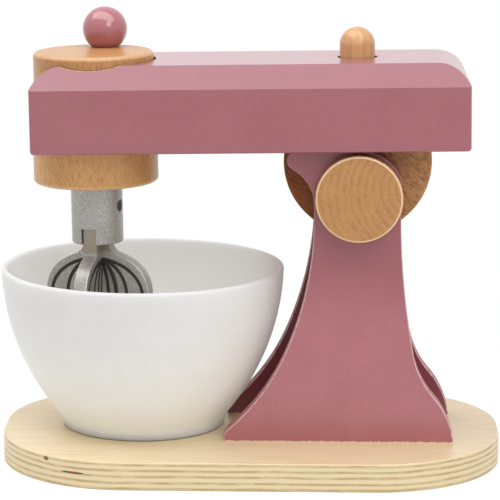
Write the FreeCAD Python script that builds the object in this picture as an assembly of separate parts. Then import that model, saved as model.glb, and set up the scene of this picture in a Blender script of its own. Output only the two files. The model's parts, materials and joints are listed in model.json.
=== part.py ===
import FreeCAD, Part
import math
import os

# A toy stand mixer of painted wood: a base board carries two column panels, the arm
# tilts back on a hinge between them, and a crank in the arm turns a whisk over a bowl.
# Millimetres. X runs along the base from the bowl to the column, Y points to the back,
# Z is up, and the origin is the centre of the base board's underside.

VEC = FreeCAD.Vector
UP = VEC(0, 0, 1)
BACK = VEC(0, 1, 0)

# --- base board ---
BASE_LENGTH = 285.0
BASE_DEPTH = 168.0
BASE_THICKNESS = 16.0
BASE_CORNER_R = 74.0
BASE_EDGE_R = 0.8

# --- hinge ---
HINGE_X = 60.5
HINGE_Z = 157.5
AXLE_R = 6.0
RUNNING_GAP = 0.05
CAP_R = 24.3
CAP_THICKNESS = 12.3
CAP_EDGE_R = 1.6
CAP_BORE_DEPTH = 8.4
CAP_GAP = 0.3
HEAD_LEAN = 0.87

# --- column panels ---
PANEL_THICKNESS = 12.0
PANEL_HALF_GAP = 24.8
PANEL_EDGE_R = 0.8
TOE_RIGHT_X = 115.8
TOE_R = 49.0
TOE_CENTRE_Z = 10.1
REAR_COVE_R = 52.8
REAR_SWEEP_R = 484.0
REAR_SWEEP_TURN = 10.4
WAIST_RIGHT_X = 84.0
WAIST_LEFT_X = 35.5
FRONT_SWEEP_R = 191.0
FRONT_SWEEP_TURN = 23.4
FRONT_COVE_R = 123.3
HEEL_R = 6.0
HEEL_CENTRE_X = -8.75
HEEL_CENTRE_Z = 18.0
NOSE_R = 5.9
NOSE_X = 26.2
NOSE_FILLET_R = 23.0
HEAD_SWEEP_R = 25.7

# --- screws that hold the panels from below ---
SCREW_R = 2.0
SCREW_HEAD_R = 4.0
SCREW_HEAD_H = 2.6
SCREW_LENGTH = 38.0
SCREW_INSET_LEFT = 19.0
SCREW_INSET_RIGHT = 22.0
SCREW_SLOT = 0.9

# --- arm beam ---
ARM_LEFT_X = -121.0
ARM_RIGHT_X = 122.3
ARM_HALF_WIDTH = 51.0
ARM_FLAT_HALF_WIDTH = 31.5
ARM_BOTTOM_Z = 184.0
ARM_HEIGHT = 47.0
ARM_BEVEL_DROP = 11.2
ARM_END_R = 19.0
ARM_END_RUN = 17.3
ARM_EDGE_R = 2.1

# --- knuckle that joins the arm to its axle ---
KNUCKLE_X = 60.1
KNUCKLE_R = 41.5
KNUCKLE_DROP = 8.9
KNUCKLE_SIDE_GAP = 0.3
KNUCKLE_EDGE_R = 1.0
DOWEL_R = 4.0
DOWEL_LENGTH = 24.0
DOWEL_SPACING = 28.0

# --- crank ---
SPINDLE_X = -88.9
SPINDLE_R = 6.0
CRANK_R = 34.1
CRANK_THICKNESS = 20.0
CRANK_TOP_Z = 235.8
CRANK_EDGE_R = 2.4
POCKET_R = 35.7
POCKET_GAP = 0.3
SPINDLE_TOP_COVER = 6.0
KNOB_R = 12.7
KNOB_SINK = 2.5
KNOB_ORBIT = 22.0
KNOB_ANGLE = 76.5
KNOB_DOWEL_R = 3.0
KNOB_DOWEL_IN_DISC = 9.0
KNOB_DOWEL_IN_KNOB = 12.0

# --- chuck under the arm ---
CHUCK_R = 35.5
CHUCK_BOTTOM_Z = 161.3
CHUCK_GAP = 0.8
CHUCK_EDGE_R = 2.4
SOCKET_R = 14.7
SOCKET_BOTTOM_Z = 126.2
SOCKET_EDGE = 1.0
SOCKET_SLOT_WIDTH = 8.8
SOCKET_SLOT_DEPTH = 9.2
SPINDLE_IN_SOCKET = 18.0
SCREW_HOLE_ANGLE = -22.0
SCREW_HOLE_Z = 147.8
SCREW_HOLE_R = 3.4
GRUB_LENGTH = 4.5
GRUB_HEX_ACROSS = 3.0
GRUB_HEX_DEPTH = 2.5

# --- whisk ---
WHISK_ANGLE = -16.8
WHISK_SHIFT = 0.35
WHISK_HALF_WIDTH = 31.4
WHISK_WIDEST_Z = 97.4
WHISK_CROWN_R = 39.2
WHISK_CROWN_CENTRE_Z = 82.6
WHISK_THICKNESS = 7.8
WHISK_EDGE_R = 0.6
WHISK_LAP_Z = 94.0
WHISK_LAP_GAP = 0.05
WHISK_END_GAP = 0.4
NECK_TOP_HALF_WIDTH = 7.6
NECK_FOOT_HALF_WIDTH = 11.0
NECK_COVE_R = 6.7
TAB_HALF_WIDTH = 12.9

# --- button ---
PEG_R = 9.9
PEG_TOP_Z = 248.0
PEG_DOME_H = 9.7
PEG_HOLE_R = 11.3
COLLAR_R = 13.6
COLLAR_H = 5.0
COLLAR_BORE_R = 14.0
ARM_TOP_WALL = 9.0
COLLAR_GAP = 0.3
SPIGOT_R = 5.5
SPIGOT_H = 9.0
SPRING_WIRE_R = 0.7
SPRING_WIRE_SIDES = 6
SPRING_COIL_R = 8.6
SPRING_TURNS = 6

# --- bowl ---
BOWL_X = -63.0
BOWL_Y = 6.5
BOWL_RIM_R = 81.4
BOWL_HEIGHT = 93.0
BOWL_WALL = 3.2
BOWL_SIDE_R = 138.0
BOWL_WIDEST = 96.0
BOWL_FOOT_R = 46.5
BOWL_FOOT_TOP_R = 48.2
BOWL_GROOVE = 0.5
BOWL_FLOOR = 5.5
BOWL_FLOOR_FILLET = 12.0
BOWL_HOLLOW_R = 41.0
BOWL_HOLLOW_H = 2.0

# --- worked out from the sizes above ---
PANEL_OUTER_Y = PANEL_HALF_GAP + PANEL_THICKNESS
PANEL_TOP_Z = HINGE_Z + HEAD_SWEEP_R
ARM_TOP_Z = ARM_BOTTOM_Z + ARM_HEIGHT
CRANK_BOTTOM_Z = CRANK_TOP_Z - CRANK_THICKNESS
SPINDLE_BOTTOM_Z = CHUCK_BOTTOM_Z - SPINDLE_IN_SOCKET
SPINDLE_TOP_Z = CRANK_TOP_Z - SPINDLE_TOP_COVER
COLLAR_TOP_Z = ARM_TOP_Z - ARM_TOP_WALL - COLLAR_GAP
SOCKET_SLOT_TOP_Z = SOCKET_BOTTOM_Z + SOCKET_SLOT_DEPTH
WHISK_BOTTOM_Z = WHISK_WIDEST_Z - WHISK_HALF_WIDTH
KNUCKLE_Z = ARM_BOTTOM_Z - KNUCKLE_DROP


def save(name, shape):
    """Write one node's solid, or group of solids, to its own file."""
    shape.exportStep("parts/" + name + ".step")


def line(start, end):
    """A straight edge between two points."""
    return Part.LineSegment(start, end).toShape()


def polar(centre, radius, angle_deg):
    """The point at one angle on a circle in the XZ plane; angles run from +X towards +Z."""
    angle = math.radians(angle_deg)
    return centre + VEC(radius * math.cos(angle), 0, radius * math.sin(angle))


def arc(centre, radius, start_deg, end_deg):
    """An arc in the XZ plane between two angles."""
    middle_deg = (start_deg + end_deg) / 2
    points = [polar(centre, radius, angle) for angle in (start_deg, middle_deg, end_deg)]
    return Part.Arc(*points).toShape()


def slab(edges, near_y, far_y):
    """Extrude a closed XZ outline from one depth to another."""
    face = Part.Face(Part.Wire(Part.__sortEdges__(edges)))
    face.translate(VEC(0, near_y, 0))
    return face.extrude(VEC(0, far_y - near_y, 0))


def rod(radius, x, y, low_z, high_z):
    """An upright cylinder."""
    return Part.makeCylinder(radius, high_z - low_z, VEC(x, y, low_z), UP)


def pin(radius, x, z, near_y, far_y):
    """A cylinder that lies along Y."""
    return Part.makeCylinder(radius, far_y - near_y, VEC(x, near_y, z), BACK)


def disc_edges(shape, z):
    """The circular edges of a turned solid at one height."""
    found = []
    for edge in shape.Edges:
        box = edge.BoundBox
        if abs(box.ZMin - z) < 0.01 and abs(box.ZMax - z) < 0.01:
            found.append(edge)
    return found


def soft_disc(radius, x, y, low_z, high_z, low_r, high_r):
    """A turned wooden disc with rounded arrises."""
    disc = rod(radius, x, y, low_z, high_z)
    disc = disc.makeFillet(low_r, disc_edges(disc, low_z))
    return disc.makeFillet(high_r, disc_edges(disc, high_z))


def edges_at_y(shape, y):
    """The edges that lie in one upright plane across Y."""
    found = []
    for edge in shape.Edges:
        box = edge.BoundBox
        if abs(box.YMin - y) < 0.01 and abs(box.YMax - y) < 0.01:
            found.append(edge)
    return found


# --- stand -----------------------------------------------------------------

def screw_places():
    """The screws' places under the two panels: two along each."""
    panel_middle = PANEL_HALF_GAP + PANEL_THICKNESS / 2
    places = []
    for side in (-1, 1):
        places.append((HEEL_CENTRE_X + SCREW_INSET_LEFT, side * panel_middle))
        places.append((TOE_RIGHT_X - SCREW_INSET_RIGHT, side * panel_middle))
    return places


def screw(x, y):
    """A countersunk wood screw, head down and flush with the underside."""
    head = Part.makeCone(SCREW_HEAD_R, SCREW_R, SCREW_HEAD_H, VEC(x, y, 0), UP)
    shank = rod(SCREW_R, x, y, 0, SCREW_LENGTH - SCREW_R)
    tip = Part.makeCone(SCREW_R, SCREW_R / 4, SCREW_R, VEC(x, y, SCREW_LENGTH - SCREW_R), UP)
    body = head.fuse([shank, tip]).removeSplitter()
    reach = SCREW_HEAD_R * 0.6
    for turn in (0, 90):
        slot = Part.makeBox(2 * reach, SCREW_SLOT, SCREW_HEAD_H * 0.6)
        slot.translate(VEC(-reach, -SCREW_SLOT / 2, 0))
        slot.rotate(VEC(0, 0, 0), UP, turn)
        slot.translate(VEC(x, y, 0))
        body = body.cut(slot)
    return body


def screw_space(x, y):
    """The countersunk hole that the screw fills."""
    head = Part.makeCone(SCREW_HEAD_R, SCREW_R, SCREW_HEAD_H, VEC(x, y, 0), UP)
    return head.fuse(rod(SCREW_R, x, y, 0, SCREW_LENGTH))


def base_board():
    """One board with large round corners, bored for the panel screws."""
    board = Part.makeBox(BASE_LENGTH, BASE_DEPTH, BASE_THICKNESS)
    board.translate(VEC(-BASE_LENGTH / 2, -BASE_DEPTH / 2, 0))
    corners = []
    for edge in board.Edges:
        if edge.BoundBox.ZLength > BASE_THICKNESS / 2:
            corners.append(edge)
    board = board.makeFillet(BASE_CORNER_R, corners)
    rims = disc_edges(board, 0) + disc_edges(board, BASE_THICKNESS)
    board = board.makeFillet(BASE_EDGE_R, rims)
    for x, y in screw_places():
        board = board.cut(screw_space(x, y))
    return board


def rear_flank():
    """The flank on the column's right: a round toe, a cove and a long sweep, all tangent."""
    toe = VEC(TOE_RIGHT_X - TOE_R, 0, TOE_CENTRE_Z)
    foot_turn = math.degrees(math.asin((BASE_THICKNESS - TOE_CENTRE_Z) / TOE_R))
    turn = math.radians(REAR_SWEEP_TURN)
    reach = WAIST_RIGHT_X + REAR_SWEEP_R - (REAR_SWEEP_R - REAR_COVE_R) * math.cos(turn)
    toe_turn = math.degrees(math.acos((reach - toe.x) / (TOE_R + REAR_COVE_R)))
    cove = polar(toe, TOE_R + REAR_COVE_R, toe_turn)
    sweep = polar(cove, REAR_SWEEP_R - REAR_COVE_R, REAR_SWEEP_TURN)
    edges = [
        arc(toe, TOE_R, foot_turn, toe_turn),
        arc(cove, REAR_COVE_R, 180 + toe_turn, 180 + REAR_SWEEP_TURN),
        arc(sweep, REAR_SWEEP_R, 180 + REAR_SWEEP_TURN, 180),
    ]
    return edges, polar(toe, TOE_R, foot_turn), polar(sweep, REAR_SWEEP_R, 180)


def front_flank():
    """The flank towards the bowl: a sweep, a cove and a small round heel, all tangent."""
    heel = VEC(HEEL_CENTRE_X, 0, HEEL_CENTRE_Z)
    turn = math.radians(FRONT_SWEEP_TURN)
    spare = FRONT_SWEEP_R - FRONT_COVE_R
    cove_x = WAIST_LEFT_X - FRONT_SWEEP_R + spare * math.cos(turn)
    run = heel.x - cove_x
    rise = math.sqrt((FRONT_COVE_R + HEEL_R) ** 2 - run ** 2)
    cove = VEC(cove_x, 0, heel.z + rise)
    sweep = VEC(WAIST_LEFT_X - FRONT_SWEEP_R, 0, cove.z + spare * math.sin(turn))
    cove_turn = math.degrees(math.atan2(rise, run))
    heel_end = 180 + math.degrees(math.asin((HEEL_CENTRE_Z - BASE_THICKNESS) / HEEL_R))
    edges = [
        arc(sweep, FRONT_SWEEP_R, 0, -FRONT_SWEEP_TURN),
        arc(cove, FRONT_COVE_R, -FRONT_SWEEP_TURN, -cove_turn),
        arc(heel, HEEL_R, 180 - cove_turn, heel_end),
    ]
    return edges, polar(sweep, FRONT_SWEEP_R, 0), polar(heel, HEEL_R, heel_end)


def panel_nose():
    """The nose under the arm and the hollow that leads down to the waist."""
    nose = VEC(NOSE_X, 0, PANEL_TOP_Z - NOSE_R)
    run = NOSE_X - (WAIST_LEFT_X - NOSE_FILLET_R)
    drop = math.sqrt((NOSE_R + NOSE_FILLET_R) ** 2 - run ** 2)
    neck = VEC(WAIST_LEFT_X - NOSE_FILLET_R, 0, nose.z - drop)
    neck_turn = math.degrees(math.atan2(drop, run))
    edges = [
        arc(nose, NOSE_R, 90, 180 + neck_turn),
        arc(neck, NOSE_FILLET_R, neck_turn, 0),
    ]
    return edges, polar(neck, NOSE_FILLET_R, 0)


def panel_outline():
    """The swan-necked outline of a column panel."""
    rear_edges, toe_foot, rear_top = rear_flank()
    front_edges, front_top, heel_foot = front_flank()
    nose_edges, neck_low = panel_nose()
    hinge = VEC(HINGE_X, 0, HINGE_Z)
    sweep_turn = math.degrees(math.acos((WAIST_RIGHT_X - HINGE_X) / HEAD_SWEEP_R))
    outline = rear_edges + front_edges + nose_edges
    outline.append(line(heel_foot, toe_foot))
    outline.append(line(rear_top, polar(hinge, HEAD_SWEEP_R, sweep_turn)))
    outline.append(arc(hinge, HEAD_SWEEP_R, sweep_turn, 90))
    outline.append(line(VEC(HINGE_X, 0, PANEL_TOP_Z), VEC(NOSE_X, 0, PANEL_TOP_Z)))
    outline.append(line(neck_low, front_top))
    return outline


def column_panel(side):
    """One panel of the column: -1 for the front one, 1 for the rear one."""
    near_y = min(side * PANEL_HALF_GAP, side * PANEL_OUTER_Y)
    panel = slab(panel_outline(), near_y, near_y + PANEL_THICKNESS)
    rims = []
    for y in (near_y, near_y + PANEL_THICKNESS):
        for edge in edges_at_y(panel, y):
            if edge.BoundBox.ZMax > BASE_THICKNESS + 0.01:
                rims.append(edge)
    panel = panel.makeFillet(PANEL_EDGE_R, rims)
    bore = pin(AXLE_R + RUNNING_GAP, HINGE_X, HINGE_Z, near_y - 1, near_y + PANEL_THICKNESS + 1)
    panel = panel.cut(bore)
    for x, y in screw_places():
        if y * side > 0:
            panel = panel.cut(rod(SCREW_R, x, y, 0, SCREW_LENGTH))
    return panel


# --- head ------------------------------------------------------------------

def arm_outline():
    """The beam's side view: square below, with large round corners above."""
    end_drop = ARM_END_R - math.sqrt(ARM_END_R ** 2 - ARM_END_RUN ** 2)
    turn = math.degrees(math.acos(ARM_END_RUN / ARM_END_R))
    shoulder_z = ARM_TOP_Z - end_drop
    left = VEC(ARM_LEFT_X + ARM_END_RUN, 0, ARM_TOP_Z - ARM_END_R)
    right = VEC(ARM_RIGHT_X - ARM_END_RUN, 0, ARM_TOP_Z - ARM_END_R)
    low_left = VEC(ARM_LEFT_X, 0, ARM_BOTTOM_Z)
    low_right = VEC(ARM_RIGHT_X, 0, ARM_BOTTOM_Z)
    return [
        line(low_left, low_right),
        line(low_right, VEC(ARM_RIGHT_X, 0, shoulder_z)),
        arc(right, ARM_END_R, turn, 90),
        line(VEC(right.x, 0, ARM_TOP_Z), VEC(left.x, 0, ARM_TOP_Z)),
        arc(left, ARM_END_R, 90, 180 - turn),
        line(VEC(ARM_LEFT_X, 0, shoulder_z), low_left),
    ]


def bevel_wedge(side):
    """What is planed off one long top edge of the beam."""
    outer = side * ARM_HALF_WIDTH
    inner = side * ARM_FLAT_HALF_WIDTH
    rise = ARM_BEVEL_DROP / (ARM_HALF_WIDTH - ARM_FLAT_HALF_WIDTH)
    over = 5.0
    far_y = outer + side * over
    points = [
        VEC(0, inner, ARM_TOP_Z),
        VEC(0, far_y, ARM_TOP_Z - ARM_BEVEL_DROP - rise * over),
        VEC(0, far_y, ARM_TOP_Z + over),
        VEC(0, inner, ARM_TOP_Z + over),
    ]
    face = Part.Face(Part.makePolygon(points + points[:1]))
    face.translate(VEC(ARM_LEFT_X - over, 0, 0))
    return face.extrude(VEC(ARM_RIGHT_X - ARM_LEFT_X + 2 * over, 0, 0))


def arm_soft_edges(beam):
    """The beam's lower edges and upright corners, which are sanded round."""
    found = []
    for edge in beam.Edges:
        box = edge.BoundBox
        at_end = box.XLength < 0.01 and box.YLength < 0.01
        along_bottom = box.ZMax < ARM_BOTTOM_Z + 0.01
        if at_end or along_bottom:
            found.append(edge)
    return found


def arm_beam():
    """The painted beam with its crank pocket, spindle bore and button bore."""
    beam = slab(arm_outline(), -ARM_HALF_WIDTH, ARM_HALF_WIDTH)
    for side in (-1, 1):
        beam = beam.cut(bevel_wedge(side))
    beam = beam.makeFillet(ARM_EDGE_R, arm_soft_edges(beam))
    pocket_floor = CRANK_BOTTOM_Z - POCKET_GAP
    shoulder_z = ARM_TOP_Z - ARM_TOP_WALL
    beam = beam.cut(rod(POCKET_R, SPINDLE_X, 0, pocket_floor, CRANK_TOP_Z))
    bore_r = SPINDLE_R + RUNNING_GAP
    beam = beam.cut(rod(bore_r, SPINDLE_X, 0, ARM_BOTTOM_Z - 1, CRANK_TOP_Z))
    beam = beam.cut(rod(PEG_HOLE_R, HINGE_X, 0, ARM_BOTTOM_Z - 1, ARM_TOP_Z + 1))
    beam = beam.cut(rod(COLLAR_BORE_R, HINGE_X, 0, ARM_BOTTOM_Z - 1, shoulder_z))
    for dowel in knuckle_dowels():
        beam = beam.cut(dowel)
    return beam


def knuckle_dowels():
    """Two dowels that pin the knuckle to the beam's underside."""
    low_z = ARM_BOTTOM_Z - DOWEL_LENGTH / 2
    high_z = ARM_BOTTOM_Z + DOWEL_LENGTH / 2
    return [rod(DOWEL_R, HINGE_X + side * DOWEL_SPACING, 0, low_z, high_z) for side in (-1, 1)]


def knuckle_block():
    """A thick beech disc, cut flat where it is glued under the beam."""
    half = PANEL_HALF_GAP - KNUCKLE_SIDE_GAP
    block = pin(KNUCKLE_R, KNUCKLE_X, KNUCKLE_Z, -half, half)
    rims = edges_at_y(block, -half) + edges_at_y(block, half)
    block = block.makeFillet(KNUCKLE_EDGE_R, rims)
    waste = Part.makeBox(2 * KNUCKLE_R, 2 * half + 2, KNUCKLE_R)
    waste.translate(VEC(KNUCKLE_X - KNUCKLE_R, -half - 1, ARM_BOTTOM_Z))
    block = block.cut(waste)
    block = block.cut(pin(AXLE_R, HINGE_X, HINGE_Z, -half - 1, half + 1))
    for dowel in knuckle_dowels():
        block = block.cut(dowel)
    return block


def cap_inner_y():
    """How far from the middle a hinge cap starts."""
    return PANEL_OUTER_Y + CAP_GAP


def hinge_cap(side):
    """A round cap on one end of the axle, with a blind bore."""
    near_y = cap_inner_y()
    cap = pin(CAP_R, HINGE_X, HINGE_Z, near_y, near_y + CAP_THICKNESS)
    cap = cap.makeFillet(CAP_EDGE_R, edges_at_y(cap, near_y + CAP_THICKNESS))
    cap = cap.cut(pin(AXLE_R, HINGE_X, HINGE_Z, 0, near_y + CAP_BORE_DEPTH))
    if side < 0:
        cap = cap.mirror(VEC(0, 0, 0), BACK)
    return cap


def hinge_axle():
    """The dowel that the head turns on, from one cap's bore to the other's."""
    reach = cap_inner_y() + CAP_BORE_DEPTH
    return pin(AXLE_R, HINGE_X, HINGE_Z, -reach, reach)


def button_spring():
    """A coil spring between the knuckle's flat and the button's collar."""
    low_z = ARM_BOTTOM_Z + SPRING_WIRE_R
    height = COLLAR_TOP_Z - COLLAR_H - 2 * SPRING_WIRE_R - ARM_BOTTOM_Z
    path = Part.makeHelix(height / SPRING_TURNS, height, SPRING_COIL_R)
    corners = []
    for step in range(SPRING_WIRE_SIDES + 1):
        angle = 2 * math.pi * step / SPRING_WIRE_SIDES
        x = SPRING_COIL_R + SPRING_WIRE_R * math.cos(angle)
        corners.append(VEC(x, 0, SPRING_WIRE_R * math.sin(angle)))
    coil = Part.Wire(path.Edges).makePipeShell([Part.makePolygon(corners)], True, True)
    coil.translate(VEC(HINGE_X, 0, low_z))
    return coil


# --- crank -----------------------------------------------------------------

def crank_disc():
    """The turned disc on top of the arm, with a blind bore for its spindle."""
    disc = soft_disc(CRANK_R, SPINDLE_X, 0, CRANK_BOTTOM_Z, CRANK_TOP_Z, 1.0, CRANK_EDGE_R)
    disc = disc.cut(rod(SPINDLE_R, SPINDLE_X, 0, CRANK_BOTTOM_Z - 1, SPINDLE_TOP_Z))
    return disc.cut(knob_dowel())


def knob_centre():
    """The knob's place on the crank disc."""
    angle = math.radians(KNOB_ANGLE)
    x = SPINDLE_X + KNOB_ORBIT * math.cos(angle)
    y = KNOB_ORBIT * math.sin(angle)
    return VEC(x, y, CRANK_TOP_Z + KNOB_R - KNOB_SINK)


def knob_dowel():
    """The dowel that pins the knob to the crank disc."""
    centre = knob_centre()
    low_z = CRANK_TOP_Z - KNOB_DOWEL_IN_DISC
    return rod(KNOB_DOWEL_R, centre.x, centre.y, low_z, CRANK_TOP_Z + KNOB_DOWEL_IN_KNOB)


def crank_knob():
    """A ball with a flat ground on it where it sits on the disc."""
    centre = knob_centre()
    ball = Part.makeSphere(KNOB_R, centre)
    waste = Part.makeBox(2 * KNOB_R, 2 * KNOB_R, KNOB_R)
    waste.translate(VEC(centre.x - KNOB_R, centre.y - KNOB_R, CRANK_TOP_Z - KNOB_R))
    return ball.cut(waste).cut(knob_dowel())


def crank_spindle():
    """The dowel from the crank disc through the arm and chuck to the socket."""
    return rod(SPINDLE_R, SPINDLE_X, 0, SPINDLE_BOTTOM_Z, SPINDLE_TOP_Z)


def chuck_disc():
    """The turned disc under the arm."""
    top_z = ARM_BOTTOM_Z - CHUCK_GAP
    disc = soft_disc(CHUCK_R, SPINDLE_X, 0, CHUCK_BOTTOM_Z, top_z, CHUCK_EDGE_R, 1.0)
    return disc.cut(rod(SPINDLE_R, SPINDLE_X, 0, CHUCK_BOTTOM_Z - 1, top_z + 1))


def on_spindle(shape, angle):
    """Turn a shape made about the Z axis and set it on the spindle's axis."""
    shape.rotate(VEC(0, 0, 0), UP, angle)
    shape.translate(VEC(SPINDLE_X, 0, 0))
    return shape


def whisk_socket():
    """The silver socket: bored above for the spindle, with one slot below."""
    body = rod(SOCKET_R, 0, 0, SOCKET_BOTTOM_Z, CHUCK_BOTTOM_Z)
    body = body.makeFillet(SOCKET_EDGE, disc_edges(body, SOCKET_BOTTOM_Z))
    body = body.cut(rod(SPINDLE_R, 0, 0, SPINDLE_BOTTOM_Z, CHUCK_BOTTOM_Z + 1))
    reach = SOCKET_R + 1
    slot = Part.makeBox(SOCKET_SLOT_WIDTH, 2 * reach, SOCKET_SLOT_DEPTH + 1)
    slot.translate(VEC(-SOCKET_SLOT_WIDTH / 2, -reach, SOCKET_BOTTOM_Z - 1))
    body = on_spindle(body.cut(slot), WHISK_ANGLE)
    hole = Part.makeCylinder(SCREW_HOLE_R, reach, VEC(0, 0, SCREW_HOLE_Z), VEC(1, 0, 0))
    return body.cut(on_spindle(hole, SCREW_HOLE_ANGLE))


def socket_screw():
    """The sunk grub screw that locks the socket to the spindle."""
    start = VEC(SPINDLE_R, 0, SCREW_HOLE_Z)
    grub = Part.makeCylinder(SCREW_HOLE_R, GRUB_LENGTH, start, VEC(1, 0, 0))
    hex_r = GRUB_HEX_ACROSS / math.sqrt(3)
    corners = []
    for step in range(7):
        angle = math.radians(60 * step)
        offset = VEC(0, hex_r * math.cos(angle), hex_r * math.sin(angle))
        corners.append(start + VEC(GRUB_LENGTH - GRUB_HEX_DEPTH, 0, 0) + offset)
    key = Part.Face(Part.makePolygon(corners)).extrude(VEC(GRUB_HEX_DEPTH + 1, 0, 0))
    grub = grub.cut(key)
    spindle = rod(SPINDLE_R, 0, 0, SPINDLE_BOTTOM_Z, CHUCK_BOTTOM_Z)
    return on_spindle(grub.cut(spindle), SCREW_HOLE_ANGLE)


# --- whisk -----------------------------------------------------------------

def crown_z(x):
    """The height of the whisk's flat crown at one distance from the middle."""
    return WHISK_CROWN_CENTRE_Z + math.sqrt(WHISK_CROWN_R ** 2 - x ** 2)


def whisk_round():
    """The round part of a plate: a flat crown, two bends and a half circle."""
    half = WHISK_THICKNESS / 2
    rise = WHISK_WIDEST_Z - WHISK_CROWN_CENTRE_Z
    spare = WHISK_CROWN_R - WHISK_HALF_WIDTH
    bend_x = (rise ** 2 - spare ** 2) / (2 * spare)
    bend_r = WHISK_HALF_WIDTH - bend_x
    turn = math.degrees(math.atan2(rise, bend_x))
    outline = [
        arc(VEC(0, 0, WHISK_WIDEST_Z), WHISK_HALF_WIDTH, 180, 360),
        arc(VEC(bend_x, 0, WHISK_WIDEST_Z), bend_r, 0, turn),
        arc(VEC(0, 0, WHISK_CROWN_CENTRE_Z), WHISK_CROWN_R, turn, 180 - turn),
        arc(VEC(-bend_x, 0, WHISK_WIDEST_Z), bend_r, 180 - turn, 180),
    ]
    plate = slab(outline, -half, half)
    return plate.makeFillet(WHISK_EDGE_R, edges_at_y(plate, -half) + edges_at_y(plate, half))


def neck_cove(side):
    """The hollow flank of plate A's neck, from its top down to the crown."""
    top = VEC(side * NECK_TOP_HALF_WIDTH, 0, SOCKET_BOTTOM_Z - WHISK_END_GAP)
    foot = VEC(side * NECK_FOOT_HALF_WIDTH, 0, crown_z(NECK_FOOT_HALF_WIDTH))
    chord = foot - top
    sag = NECK_COVE_R - math.sqrt(NECK_COVE_R ** 2 - chord.Length ** 2 / 4)
    inward = VEC(side * chord.z, 0, -side * chord.x).normalize()
    middle = (top + foot) * 0.5 + inward * sag
    return Part.Arc(top, middle, foot).toShape(), top, foot


def whisk_neck():
    """The neck of plate A, which stops just under the socket."""
    outline = []
    for side in (-1, 1):
        cove, top, foot = neck_cove(side)
        low = VEC(foot.x, 0, WHISK_LAP_Z)
        outline.append(cove)
        outline.append(line(VEC(0, 0, top.z), top))
        outline.append(line(foot, low))
        outline.append(line(low, VEC(0, 0, WHISK_LAP_Z)))
    return slab(outline, -WHISK_THICKNESS / 2, WHISK_THICKNESS / 2)


def whisk_tab():
    """The square tab of plate B, which fills the socket's slot."""
    height = SOCKET_SLOT_TOP_Z - WHISK_END_GAP - WHISK_LAP_Z
    tab = Part.makeBox(2 * TAB_HALF_WIDTH, WHISK_THICKNESS, height)
    tab.translate(VEC(-TAB_HALF_WIDTH, -WHISK_THICKNESS / 2, WHISK_LAP_Z))
    return tab


def lap_slot(low_z, high_z):
    """The half-lap notch for the other plate."""
    half = WHISK_THICKNESS / 2 + WHISK_LAP_GAP
    notch = Part.makeBox(2 * half, WHISK_THICKNESS + 2, high_z - low_z)
    notch.translate(VEC(-half, -WHISK_THICKNESS / 2 - 1, low_z))
    return notch


def whisk_plate_a():
    """The plate with the coved neck, notched from the top."""
    plate = whisk_round().fuse(whisk_neck()).removeSplitter()
    plate = plate.cut(lap_slot(WHISK_LAP_Z - WHISK_LAP_GAP, SOCKET_BOTTOM_Z))
    plate.translate(VEC(WHISK_SHIFT, 0, 0))
    return on_spindle(plate, WHISK_ANGLE)


def whisk_plate_b():
    """The plate with the tab, notched from below and set across."""
    plate = whisk_round().fuse(whisk_tab()).removeSplitter()
    plate = plate.cut(lap_slot(WHISK_BOTTOM_Z - 1, WHISK_LAP_Z))
    plate.rotate(VEC(0, 0, 0), UP, 90)
    plate.translate(VEC(WHISK_SHIFT, 0, 0))
    return on_spindle(plate, WHISK_ANGLE)


# --- button ----------------------------------------------------------------

def button_peg():
    """A dowel with a domed top, held down in the arm by its collar."""
    low_z = COLLAR_TOP_Z - COLLAR_H
    shank = rod(PEG_R, HINGE_X, 0, low_z, PEG_TOP_Z - PEG_DOME_H)
    dome_r = (PEG_R ** 2 + PEG_DOME_H ** 2) / (2 * PEG_DOME_H)
    ball = Part.makeSphere(dome_r, VEC(HINGE_X, 0, PEG_TOP_Z - dome_r))
    dome = ball.common(rod(PEG_R, HINGE_X, 0, PEG_TOP_Z - PEG_DOME_H, PEG_TOP_Z))
    collar = rod(COLLAR_R, HINGE_X, 0, low_z, COLLAR_TOP_Z)
    spigot = rod(SPIGOT_R, HINGE_X, 0, low_z - SPIGOT_H, low_z)
    return shank.fuse([dome, collar, spigot]).removeSplitter()


# --- bowl ------------------------------------------------------------------

def side_point(radius, height):
    """A point of one of the bowl's two side arcs, which share a centre."""
    centre_r = BOWL_RIM_R - BOWL_SIDE_R
    reach = math.sqrt(radius ** 2 - (BOWL_WIDEST - height) ** 2)
    return VEC(centre_r + reach, 0, height)


def side_arc(radius, low_h, high_h):
    """The stretch of a side arc between two heights."""
    middle_h = (low_h + high_h) / 2
    points = [side_point(radius, height) for height in (low_h, middle_h, high_h)]
    return Part.Arc(*points).toShape()


def bowl_inside(lip_h):
    """The inner profile: side arc, floor fillet and flat floor."""
    radius = BOWL_SIDE_R - BOWL_WALL
    side_centre = VEC(BOWL_RIM_R - BOWL_SIDE_R, 0, BOWL_WIDEST)
    fillet_h = BOWL_FLOOR + BOWL_FLOOR_FILLET
    run = math.sqrt((radius - BOWL_FLOOR_FILLET) ** 2 - (BOWL_WIDEST - fillet_h) ** 2)
    fillet = VEC(side_centre.x + run, 0, fillet_h)
    slope = math.degrees(math.atan2(fillet_h - BOWL_WIDEST, run))
    low_h = BOWL_WIDEST + radius * math.sin(math.radians(slope))
    return [
        side_arc(radius, low_h, lip_h),
        arc(fillet, BOWL_FLOOR_FILLET, slope, -90),
        line(VEC(fillet.x, 0, BOWL_FLOOR), VEC(0, 0, BOWL_FLOOR)),
    ]


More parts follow.
